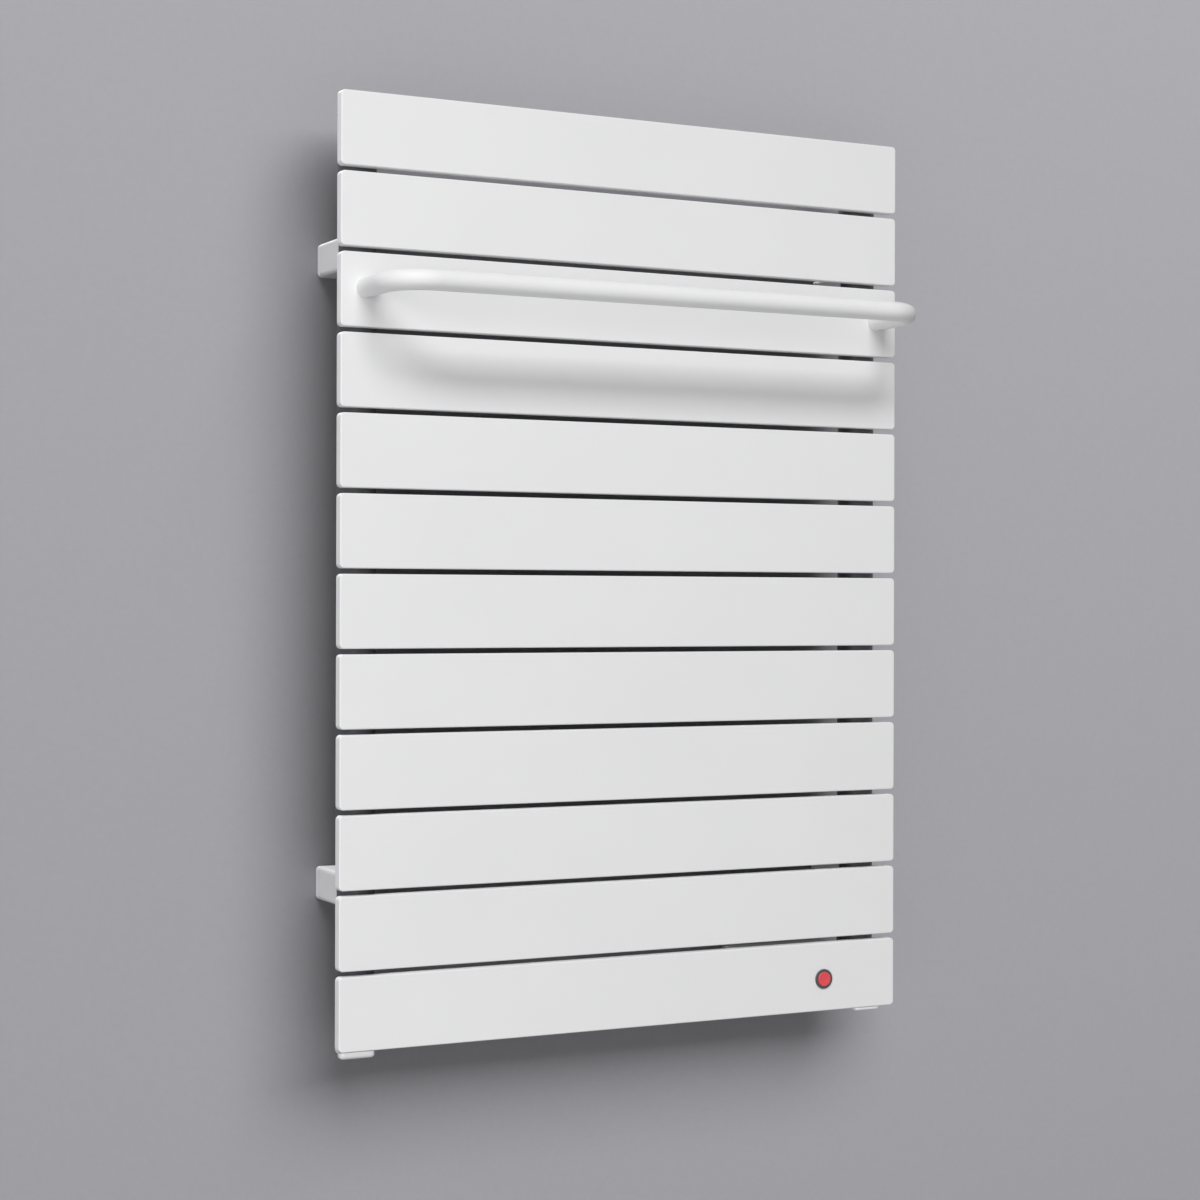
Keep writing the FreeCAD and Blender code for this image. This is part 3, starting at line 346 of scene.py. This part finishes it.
def turn(shape, profile, centre, axis, steps=48):
    """Spin a profile of (radius, distance along the axis) points once round an axis."""
    axis = Vector(axis).normalized()
    across = axis.orthogonal().normalized()
    points = [shape.verts.new(centre + across * r + axis * h) for r, h in profile]
    edges = [shape.edges.new(pair) for pair in zip(points, points[1:])]
    bmesh.ops.spin(shape, geom=points + edges, cent=centre, axis=axis, angle=2 * math.pi, steps=steps,
                   use_merge=True)


def bead(shape, centre, axis, radius, thick, steps=40, sides=8):
    """A round bead: a small closed circle, spun once round an axis."""
    turns = [2 * math.pi * n / sides for n in range(sides + 1)]
    turn(shape, [(radius + thick * math.cos(a), thick * math.sin(a)) for a in turns], centre, axis, steps)


def rounded_block(shape, size, centre, rounding, steps):
    """A stretched cube about its centre, with all its edges rounded."""
    corners = bmesh.ops.create_cube(shape, size=1.0)["verts"]
    bmesh.ops.scale(shape, vec=size, verts=corners)
    bmesh.ops.translate(shape, vec=centre, verts=corners)
    edges = list(dict.fromkeys(edge for corner in corners for edge in corner.link_edges))
    bmesh.ops.bevel(shape, geom=edges, offset=rounding, affect="EDGES", segments=steps, profile=0.5,
                    material=-1)


def verts_in(made):
    """The vertices among an operator's results."""
    return [g for g in made if isinstance(g, bmesh.types.BMVert)]


def loop_in(made, verts):
    """The edges among an operator's results that join two of these vertices."""
    return [g for g in made if isinstance(g, bmesh.types.BMEdge) and all(v in verts for v in g.verts)]


def middle(name):
    """The centre of a solid's box."""
    low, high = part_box(name)
    return (low + high) / 2


print("helpers ready")

# %% [markdown]
# ## Weld beads
# Each flat tube is welded to the two headers through short collars, and the headers' caps are welded on. A
# weld leaves a small round bead in the corner; the beads take the headers' dark grey, painted shade. A circle
# spun round the collar's axis gives the bead, and the same function makes the larger rings where the caps
# meet the headers.

# %% Beads at the collars and caps
BEAD_MM = 1.1
SEAM_MM = 0.7
SEAM_IN_MM = 0.2
COLLAR_MM = 15.0
BEAD_STEPS = 28
SLATS = [f"slat_{number:02d}" for number in range(1, 12)] + ["control_slat"]
left_low, left_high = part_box("left_header")
header_radius = (left_high.x - left_low.x) / 2
header_y = left_low.y + header_radius
header_x = {"left": middle("left_header").x, "right": middle("right_header").x}
slat_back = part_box("slat_01")[1].y

beads = bmesh.new()
for name in SLATS:
    for x in header_x.values():
        foot = Vector((x, slat_back, middle(name).z))
        bead(beads, foot, (0, 1, 0), COLLAR_MM / 2 * MM, BEAD_MM * MM, BEAD_STEPS)
# The collar beads take the headers' dark grey painted shade.
keep(beads, "collar_weld_beads", "panel", "header_primer")

seams = bmesh.new()
welds = [("left", left_high.z), ("right", left_high.z), ("right", left_low.z)]
for side, z in welds:
    ring_at = Vector((header_x[side], header_y, z))
    bead(seams, ring_at, (0, 0, 1), header_radius - SEAM_IN_MM * MM, SEAM_MM * MM)
# The cap seams take the same dark grey painted shade.
keep(seams, "cap_weld_seams", "panel", "header_primer")

# %% [markdown]
# ## The tube's own seam
# A flat tube is rolled from strip and welded along its length. The maker turns that seam to the wall, where
# it shows as a low flat ridge under the paint. A stretched cube with rounded edges gives it.

# %% Long seams on the backs of the slats
RIDGE_WIDE_MM = 2.4
RIDGE_HIGH_MM = 0.35
RIDGE_UP_MM = 19.0
RIDGE_ROUND_MM = 0.3
BOX_CLEAR_MM = 3.0

ridges = bmesh.new()
left = header_x["left"] + header_radius
for name in SLATS:
    right = header_x["right"] - header_radius
    if name == "control_slat":
        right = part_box("control_box")[0].x - BOX_CLEAR_MM * MM
    size = (right - left, 2 * RIDGE_HIGH_MM * MM, RIDGE_WIDE_MM * MM)
    centre = ((left + right) / 2, slat_back, middle(name).z + RIDGE_UP_MM * MM)
    rounded_block(ridges, size, centre, RIDGE_ROUND_MM * MM, 2)
keep(ridges, "slat_long_seams", "panel", "white_powder_coat")

# %% [markdown]
# ## Socket grub screws
# Small headless screws lock the towel bar on its posts and the brackets on their feet. Their end shows a
# six-sided socket for a key. Two circles, one with six sides and one round, are bridged to make the end
# face. The six-sided loop is pushed in to make the socket, and the round one is pulled along to make the
# body.

# %% Grub screws under the bar and the brackets
GRUB_MM = 4.0
GRUB_SIDES = 24
KEY_MM = 2.0
SOCKET_MM = 2.0


def grub_screw(shape, foot, length):
    """A headless screw that stands on its foot point and runs upwards, with its socket in the foot."""
    body = bmesh.ops.create_circle(shape, segments=GRUB_SIDES, radius=GRUB_MM / 2 * MM)["verts"]
    key = bmesh.ops.create_circle(shape, segments=6, radius=KEY_MM / math.sqrt(3) * MM)["verts"]
    rim, hole = ([e for e in shape.edges if all(v in ring for v in e.verts)] for ring in (body, key))
    bmesh.ops.bridge_loops(shape, edges=rim + hole)
    made = list(body) + list(key)
    for loop, reach in ((rim, length), (hole, SOCKET_MM * MM)):
        pulled = bmesh.ops.extrude_edge_only(shape, edges=loop)["geom"]
        moved = verts_in(pulled)
        bmesh.ops.translate(shape, vec=(0, 0, reach), verts=moved)
        bmesh.ops.contextual_create(shape, geom=loop_in(pulled, moved))
        made += moved
    bmesh.ops.translate(shape, vec=foot, verts=made)


GRUBS = {"bar_grub_screws": "bar_socket_screws", "bracket_grub_screws": "bracket_socket_screws"}
for node, name in GRUBS.items():
    low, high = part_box(node)
    grubs = bmesh.new()
    levels = [low.z]
    length = high.z - low.z
    if node == "bracket_grub_screws":
        levels = [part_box(f"saddle_{level}_left")[0].z for level in ("upper", "lower")]
        length = high.z - levels[0]
    for z in levels:
        for x in (low.x + GRUB_MM / 2 * MM, high.x - GRUB_MM / 2 * MM):
            grub_screw(grubs, Vector((x, (low.y + high.y) / 2, z)), length)
    keep(grubs, name, "panel", "zinc_steel", (node,))

# %% [markdown]
# ## Cover screws with a cross recess
# Six small pan-head screws hold the control box: four show on its cover and two are inside. A disc is cut
# along four lines into a cross and its corners. The cross is then pushed in, and the rim of the head is
# rounded.

# %% Box screws
SCREW_MM = 3.0
HEAD_MM = 5.5
HEAD_HIGH_MM = 2.0
HEAD_SIDES = 32
HEAD_ROUND_MM = 0.7
RECESS_MM = 3.2
RECESS_DEEP_MM = 1.1
SLOT_MM = 0.9
NEAR_MM = 0.01


def pan_head(shape, seat, shank):
    """A pan-head screw along Y: the head stands behind its seat and the shank runs forwards."""
    fresh = bmesh.new()
    bmesh.ops.create_circle(fresh, cap_ends=True, segments=HEAD_SIDES, radius=HEAD_MM / 2 * MM)
    bmesh.ops.inset_region(fresh, faces=fresh.faces[:], thickness=(HEAD_MM - RECESS_MM) / 2 * MM)
    for way in ((1, 0, 0), (0, 1, 0)):
        for side in (-1, 1):
            bmesh.ops.bisect_plane(fresh, geom=fresh.verts[:] + fresh.edges[:] + fresh.faces[:],
                                   plane_co=Vector(way) * side * SLOT_MM / 2 * MM, plane_no=way)
    cross = [f for f in fresh.faces if f.calc_center_median().length < RECESS_MM / 2 * MM
             and min(abs(f.calc_center_median().x), abs(f.calc_center_median().y)) < SLOT_MM / 2 * MM]
    pushed = bmesh.ops.extrude_face_region(fresh, geom=cross)["geom"]
    bmesh.ops.translate(fresh, vec=(0, 0, -RECESS_DEEP_MM * MM), verts=verts_in(pushed))
    rim = [e for e in fresh.edges if e.is_boundary]
    under = -HEAD_HIGH_MM
    for across, height in ((HEAD_MM, under), (SCREW_MM, under), (SCREW_MM, under - shank / MM)):
        grown = bmesh.ops.extrude_edge_only(fresh, edges=rim)["geom"]
        verts = verts_in(grown)
        for vert in verts:
            flat = Vector((vert.co.x, vert.co.y)).normalized() * across / 2 * MM
            vert.co = (flat.x, flat.y, height * MM)
        rim = loop_in(grown, verts)
    bmesh.ops.contextual_create(fresh, geom=rim)
    top = [e for e in fresh.edges if len(e.link_faces) == 2
           and all(abs(v.co.z) < JOIN_MM * MM for v in e.verts)
           and all(abs(v.co.length - HEAD_MM / 2 * MM) < NEAR_MM * MM for v in e.verts)]
    bmesh.ops.bevel(fresh, geom=top, offset=HEAD_ROUND_MM * MM, affect="EDGES", segments=3, profile=0.5,
                    material=-1)
    crown_at = seat + Vector((0, HEAD_HIGH_MM * MM, 0))
    fresh.transform(Matrix.Translation(crown_at) @ Matrix.Rotation(math.radians(-90), 4, "X"))
    part = bpy.data.meshes.new("one_screw")
    fresh.to_mesh(part)
    fresh.free()
    shape.from_mesh(part)
    bpy.data.meshes.remove(part)


COVER_SHANK_MM = 9.7
TIE_SHANK_MM = 3.5
TIE_IN_MM = 12.0
TIE_UP_MM = 16.0

low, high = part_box("box_screws")
cover_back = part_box("box_cover")[1].y
box_low, box_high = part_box("control_box")
screws = bmesh.new()
for x in (low.x + HEAD_MM / 2 * MM, high.x - HEAD_MM / 2 * MM):
    for z in (low.z + HEAD_MM / 2 * MM, high.z - HEAD_MM / 2 * MM):
        pan_head(screws, Vector((x, cover_back, z)), COVER_SHANK_MM * MM)
tie_seat = low.y + TIE_SHANK_MM * MM
box_z = middle("control_box").z
pan_head(screws, Vector((box_low.x + TIE_IN_MM * MM, tie_seat, box_z - TIE_UP_MM * MM)), TIE_SHANK_MM * MM)
pan_head(screws, Vector((box_high.x - TIE_IN_MM * MM, tie_seat, box_z + TIE_UP_MM * MM)), TIE_SHANK_MM * MM)
keep(screws, "recessed_box_screws", "panel", "zinc_steel", ("box_screws",))

# %% [markdown]
# ## Ribs on the box cover
# A thin flat cover would drum and warp, so its mould has a row of low stiffening ribs. Each rib is a
# stretched cube that is sunk halfway into the cover, with all its edges rounded.

# %% Cover ribs
RIB_COUNT = 9
RIB_STEP_MM = 5.6
RIB_START_MM = 17.0
RIB_WIDE_MM = 1.8
RIB_LONG_MM = 34.0
RIB_PROUD_MM = 1.0
RIB_ROUND_MM = 0.6

ribs = bmesh.new()
cover_low, cover_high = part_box("box_cover")
size = (RIB_WIDE_MM * MM, 2 * RIB_PROUD_MM * MM, RIB_LONG_MM * MM)
for number in range(RIB_COUNT):
    x = cover_low.x + (RIB_START_MM + number * RIB_STEP_MM) * MM
    rounded_block(ribs, size, (x, cover_high.y, middle("box_cover").z), RIB_ROUND_MM * MM, 3)
keep(ribs, "cover_ribs", "panel", "box_plastic")

# %% [markdown]
# ## The fill plug
# The left header is filled through a brass plug on its top cap. A six-sided bar is cut off and its corners
# are turned away, so the head has a chamfer and a small dimple in the middle. The thread below it is hidden
# in the cap.

# %% Fill plug
PLUG_HEAD_MM = 4.0
PLUG_THREAD_MM = 13.0
PLUG_CHAMFER_MM = 0.9
DIMPLE_IN_MM = 1.6
DIMPLE_DEEP_MM = 0.5

low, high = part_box("fill_plug")
flats = high.y - low.y
axis_at = middle("fill_plug")
seat = Vector((axis_at.x, axis_at.y, high.z - PLUG_HEAD_MM * MM))
plug = bmesh.new()
bmesh.ops.create_circle(plug, cap_ends=True, segments=6, radius=flats / math.sqrt(3))
bmesh.ops.rotate(plug, matrix=Matrix.Rotation(math.radians(30), 3, "Z"), verts=plug.verts)
top = bmesh.ops.extrude_face_region(plug, geom=plug.faces[:])["geom"]
bmesh.ops.translate(plug, vec=(0, 0, PLUG_HEAD_MM * MM), verts=verts_in(top))
upper = [e for e in plug.edges if all(v.co.z > 0.5 * PLUG_HEAD_MM * MM for v in e.verts)]
bmesh.ops.bevel(plug, geom=upper, offset=PLUG_CHAMFER_MM * MM, affect="EDGES", segments=2, profile=0.5,
                material=-1)


def height_then_middle(face):
    """Sorts faces by height, and those of one height by how near the axis they are."""
    at = face.calc_center_median()
    return round(at.z, 6), -at.xy.length


crown = max(plug.faces, key=height_then_middle)
bmesh.ops.inset_region(plug, faces=[crown], thickness=DIMPLE_IN_MM * MM)
crown = max(plug.faces, key=height_then_middle)
bmesh.ops.inset_region(plug, faces=[crown], thickness=DIMPLE_DEEP_MM * MM, depth=-DIMPLE_DEEP_MM * MM)
bmesh.ops.translate(plug, vec=seat, verts=plug.verts)
depth = low.z - seat.z
thread_r = PLUG_THREAD_MM / 2 * MM
turn(plug, [(0, 0), (thread_r, 0), (thread_r, depth), (0, depth)], seat, (0, 0, 1), 36)
keep(plug, "chamfered_fill_plug", "panel", "brass", ("fill_plug",))

# %% [markdown]
# ## The button's dished lens
# A finger finds a push button by its dish, so the lens is hollowed very slightly and its rim is rounded. It
# is a turned shape, so one half of its section is drawn as a few points and spun once. It rides on the push
# button's own body and goes in with it.

# %% Button lens
DISH_MM = 0.45
DISH_RIM_MM = 5.9
LENS_WALL_MM = 1.3
CROWN_MM = 1.8
LENS_ROUND_MM = 0.6
DISH_STEPS = 8
ROUND_STEPS = 6
LENS_STEPS = 64

low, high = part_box("button_cap")
lens_r = (high.x - low.x) / 2 / MM
lens_deep = (high.y - low.y) / MM
inner_r = lens_r - LENS_WALL_MM
shares = [n / DISH_STEPS for n in range(DISH_STEPS + 1)]
dish = [(DISH_RIM_MM * share, DISH_MM * (1 - share ** 2)) for share in shares]
quarter = [math.radians(90 * n / ROUND_STEPS) for n in range(ROUND_STEPS + 1)]
rounded = [(lens_r - LENS_ROUND_MM * (1 - math.sin(a)), LENS_ROUND_MM * (1 - math.cos(a))) for a in quarter]
skirt = [(lens_r, lens_deep), (inner_r, lens_deep), (inner_r, CROWN_MM), (0, CROWN_MM)]
lens = bmesh.new()
lens_front = Vector((middle("button_cap").x, low.y, middle("button_cap").z))
turn(lens, [(r * MM, h * MM) for r, h in dish + rounded + skirt], lens_front, (0, 1, 0), LENS_STEPS)
keep(lens, "dished_button_lens", "push_button", "red_lens", ("button_cap",))

# %% [markdown]
# ## The button's return spring
# The coil behind the lens gets shorter as the button goes in. A small circle, the wire's section, is spun
# round the button's axis with a short step along it each time, which draws the coil, and its two cut ends
# are then closed. The coil is drawn at full length and is given a mesh of its own.

# %% Return spring
SPRING_WIRE_MM = 0.6
SPRING_TURNS = 3
COIL_STEPS = 96
WIRE_SIDES = 12

low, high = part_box("return_spring")
wire_r = SPRING_WIRE_MM / 2 * MM
coil_r = (high.x - low.x) / 2 - wire_r
rear_end = Vector((middle("return_spring").x, high.y, middle("return_spring").z))
coil_start = Vector((rear_end.x, low.y + wire_r, rear_end.z))
coil_step = (high.y - low.y - 2 * wire_r) / COIL_STEPS
coil = bmesh.new()
section = bmesh.ops.create_circle(coil, segments=WIRE_SIDES, radius=wire_r)["verts"]
bmesh.ops.translate(coil, vec=coil_start + Vector((coil_r, 0, 0)), verts=section)
bmesh.ops.spin(coil, geom=coil.verts[:] + coil.edges[:], cent=coil_start, axis=(0, 1, 0),
               dvec=(0, coil_step, 0), angle=2 * math.pi * SPRING_TURNS, steps=COIL_STEPS)
bmesh.ops.holes_fill(coil, edges=[e for e in coil.edges if e.is_boundary], sides=WIRE_SIDES)
spring = keep(coil, "coiled_return_spring", "panel", "zinc_steel", ("return_spring",))
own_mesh(spring)

# %% [markdown]
# ## The terminal cap's gasket
# The cap over the heater's terminals is plastic and pushes into the header, with a thin rubber ring between
# them.

# %% Gasket
GASKET_MM = 0.6
GASKET_IN_MM = 0.3

gasket = bmesh.new()
ring_at = Vector((header_x["left"], header_y, left_low.z))
bead(gasket, ring_at, (0, 0, 1), header_radius - GASKET_IN_MM * MM, GASKET_MM * MM)
keep(gasket, "terminal_cap_gasket", "panel", "sealing_rubber")

# %% [markdown]
# ## Wall and floor
# The warmer hangs on a wall. A plain grey wall stands just behind its feet and keeps the slots between the
# tubes dark, as on the real one. The wall is painted on its front only and is clear from behind, so the
# back of the warmer can be looked at. The floor is a paler grey and lies well below.

# %% Stage
FLOOR_Z = -1.15
FLOOR_HALF = 6.0
WALL_Y = 1.0 * MM
WALL_HALF = 4.0
ROLLER_MM = 6.0
FLOOR_ROLLER_MM = 24.0

wall_paint, tree, shader, place = new_finish("matt_grey_wall_paint", Roughness=0.9)
nap = add(tree, "ShaderNodeTexNoise", {"Vector": place, "Scale": 1 / (ROLLER_MM * MM), "Detail": 2.0})
tone = add(tree, "ShaderNodeMix", {"Factor": nap.outputs["Fac"], 6: linear("#A5A4A9"), 7: linear("#AAA9AE")},
           data_type="RGBA")
tree.links.new(tone.outputs[2], shader.inputs["Base Color"])
clear = add(tree, "ShaderNodeBsdfTransparent")
behind = add(tree, "ShaderNodeNewGeometry").outputs["Backfacing"]
one_sided = add(tree, "ShaderNodeMixShader", {0: behind, 1: shader.outputs["BSDF"], 2: clear.outputs["BSDF"]})
tree.links.new(one_sided.outputs["Shader"], tree.nodes["Material Output"].inputs["Surface"])

floor_paint, tree, shader, place = new_finish("matt_grey_floor_paint", Roughness=0.85)
nap = add(tree, "ShaderNodeTexNoise", {"Vector": place, "Scale": 1 / (FLOOR_ROLLER_MM * MM), "Detail": 2.0})
tone = add(tree, "ShaderNodeMix", {"Factor": nap.outputs["Fac"], 6: linear("#B9B9B9"), 7: linear("#BFBFBF")},
           data_type="RGBA")
tree.links.new(tone.outputs[2], shader.inputs["Base Color"])


def stage_sheet(name, half_size, turned_by, centre, finish):
    """A flat square sheet of the stage."""
    sheet = bmesh.new()
    bmesh.ops.create_grid(sheet, x_segments=1, y_segments=1, size=half_size)
    bmesh.ops.rotate(sheet, matrix=Matrix.Rotation(math.radians(turned_by), 3, "X"), verts=sheet.verts)
    bmesh.ops.translate(sheet, vec=centre, verts=sheet.verts)
    mesh = bpy.data.meshes.new(name)
    sheet.to_mesh(mesh)
    sheet.free()
    mesh.materials.append(finish)
    made = bpy.data.objects.new(name, mesh)
    bpy.context.scene.collection.objects.link(made)
    return made


wall = stage_sheet("wall", WALL_HALF, 90, (0, WALL_Y, FLOOR_Z + WALL_HALF), wall_paint)
floor = stage_sheet("floor", FLOOR_HALF, 0, (0, 0, FLOOR_Z), floor_paint)
print("stage:", wall.name, floor.name)

# %% [markdown]
# ## Light
# The shadow of the towel bar gives the light away. It falls as far down the panel as the bar stands out
# from it, and to the right. Its long edges are fairly crisp while the bar's ends fade out, so the main lamp
# is a wide, low strip: high, in front and to the left, with its long side parallel to the bar. It stands
# far off, so that the lowest tube gets as much light as the highest. A weaker lamp on the left, at the
# warmer's own height, lights the ends of the tubes and lifts the underside of the bar. A studio lights
# the wall apart from the object, with screens between. Here each lamp has a list of what it lights: the
# first two leave the wall out, which keeps the slots between the tubes dark, and a broad lamp lights the
# wall alone and throws the panel's soft shadow on it. Two lamps behind the wall light the back of the
# warmer. The wall doesn't block them, and their light doesn't bounce.

# %% Lamps and sky
KEY_TOWARDS = Vector((-0.55, -1.0, 0.99)).normalized()
KEY_FAR = 12.0
KEY_WATTS = 1000.0
KEY_WIDE = 9.3
KEY_HIGH = 2.25
FILL_TOWARDS = Vector((-0.8, -1.0, 0.1)).normalized()
FILL_FAR = 5.0
FILL_WATTS = 72.0
FILL_SIZE = 2.4
WALL_TOWARDS = Vector((0.12, -1.0, 0.8)).normalized()
WALL_FAR = 6.0
WALL_WATTS = 392.0
WALL_WIDE = 6.5
WALL_HIGH = 4.2
REAR_AT = (0.9, 4.2, 2.7)
REAR_WATTS = 64.0
REAR_SIZE = 1.8
SKY = 0.15
BACKDROP = 0.9


def lamp(name, at, aim, watts, wide, high):
    """A soft rectangular lamp that faces a point, with its wide side level."""
    data = bpy.data.lights.new(name, "AREA")
    data.shape = "RECTANGLE"
    data.size = wide
    data.size_y = high
    data.energy = watts
    made = bpy.data.objects.new(name, data)
    made.location = at
    made.rotation_euler = (Vector(aim) - Vector(at)).to_track_quat("-Z", "Y").to_euler()
    bpy.context.scene.collection.objects.link(made)
    return made


def list_of_wall(name, state):
    """A lamp's list that has only the wall in it, or everything but the wall."""
    made = bpy.data.collections.new(name)
    made.objects.link(wall)
    made.collection_objects[0].light_linking.link_state = state
    return made


not_the_wall = list_of_wall("all_but_the_wall", "EXCLUDE")
wall_alone = list_of_wall("the_wall_alone", "INCLUDE")
bar_at = middle("towel_bar")
key_at = bar_at + KEY_TOWARDS * KEY_FAR
key = lamp("key_lamp", key_at, (key_at.x, bar_at.y, bar_at.z), KEY_WATTS, KEY_WIDE, KEY_HIGH)
fill = lamp("fill_lamp", FILL_TOWARDS * FILL_FAR, (0, 0, 0), FILL_WATTS, FILL_SIZE, FILL_SIZE)
for front_lamp in (key, fill):
    front_lamp.light_linking.receiver_collection = not_the_wall
wash = lamp("wall_lamp", WALL_TOWARDS * WALL_FAR, (0, 0, 0), WALL_WATTS, WALL_WIDE, WALL_HIGH)
wash.light_linking.receiver_collection = wall_alone
for name, side in (("rear_lamp_left", -1), ("rear_lamp_right", 1)):
    rear_at = (side * REAR_AT[0], REAR_AT[1], REAR_AT[2])
    rear = lamp(name, rear_at, (0, 0, 0), REAR_WATTS, REAR_SIZE, REAR_SIZE)
    rear.light_linking.blocker_collection = not_the_wall
    rear.data.cycles.max_bounces = 0

sky = bpy.data.worlds.new("even_sky")
bpy.context.scene.world = sky
sky.use_nodes = True
tree = sky.node_tree
ray = add(tree, "ShaderNodeLightPath")
seen = add(tree, "ShaderNodeMath", {0: ray.outputs["Is Camera Ray"], 1: ray.outputs["Is Glossy Ray"]},
           operation="MAXIMUM")
seen = add(tree, "ShaderNodeMath", {0: seen.outputs[0], 1: ray.outputs["Is Transmission Ray"]},
           operation="MAXIMUM")
level = add(tree, "ShaderNodeMapRange", {"Value": seen.outputs[0], "To Min": SKY, "To Max": BACKDROP})
tree.nodes["Background"].inputs["Color"].default_value = linear("#FAFAFA")
tree.links.new(level.outputs["Result"], tree.nodes["Background"].inputs["Strength"])

# %% [markdown]
# ## Camera
# The corners of the panel and the eleven slots in the photograph fix the camera by least squares: it stands
# about two metres in front, a metre to the left, near mid height, and looks level, 27 degrees to the right.

# %% Camera
SENSOR_MM = 36.0
PHOTO_PX = 1200
FOCAL_PX = 2412.8
CAMERA_AT = (-1.0858, -2.1268, -0.0271)
LOOK_RIGHT = 27.179
LOOK_UP = 0.040
TILT = 0.161

camera_data = bpy.data.cameras.new("photo_camera")
camera_data.sensor_width = SENSOR_MM
camera_data.lens = FOCAL_PX / PHOTO_PX * SENSOR_MM
camera = bpy.data.objects.new("photo_camera", camera_data)
camera.location = CAMERA_AT
camera.rotation_euler = [math.radians(turned_by) for turned_by in (90 + LOOK_UP, -TILT, -LOOK_RIGHT)]
bpy.context.scene.collection.objects.link(camera)
bpy.context.scene.camera = camera
bpy.context.scene.view_settings.view_transform = "Standard"
print("lens in millimetres:", round(camera_data.lens, 2))
